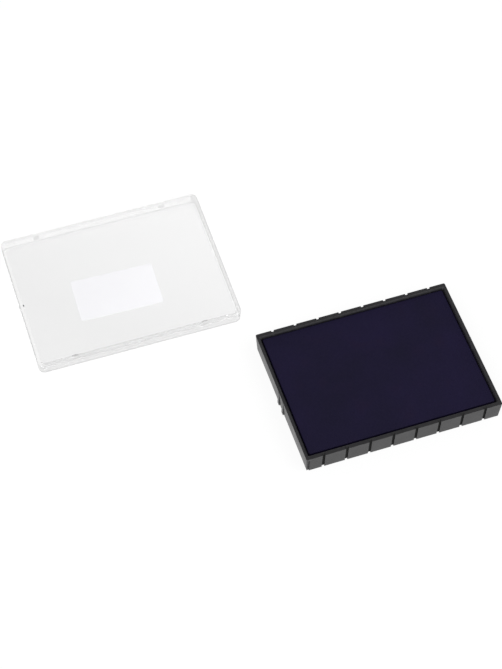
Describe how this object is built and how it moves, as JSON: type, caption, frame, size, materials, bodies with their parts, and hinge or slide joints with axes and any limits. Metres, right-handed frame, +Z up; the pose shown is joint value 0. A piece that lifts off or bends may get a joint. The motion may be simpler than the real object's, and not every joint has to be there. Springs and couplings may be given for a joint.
{
  "type": "replacement ink pad",
  "caption": "Replacement ink pad for a self-inking stamp: grooved plastic tray with a cloth-covered soaked pad, and its clear protective cap lying open side up beside it.",
  "frame": {"origin": "centre of the tray's base, on the surface that it stands on", "axes": "+Z up, out of the inked face; +X along the tray's long side; +Y along its short side, with the cap lying towards -X and +Y"},
  "size_m": [0.1398, 0.1184, 0.0075],
  "materials": {
    "black_plastic": "satin moulded",
    "adhesive": "tacky film",
    "inked_felt": "dense felt soaked with violet ink",
    "inked_foam": "fine open foam soaked with violet ink",
    "inked_cloth": "fine woven cloth, damp with violet ink",
    "clear_plastic": "clear moulded polystyrene",
    "label_paper": "plain white paper"
  },
  "bodies": {
    "pad": {"tray": "black_plastic", "adhesive_sheet": "adhesive", "felt_core": "inked_felt", "foam_layer": "inked_foam", "cloth_cover": "inked_cloth"},
    "cap": {"cap": "clear_plastic", "cap_label": "label_paper"}
  },
  "joints": [
    {"name": "cap_lift", "type": "slide", "parent": "pad", "child": "cap", "axis": [0, 0, 1], "range_m": [0, 0.06]}
  ]
}
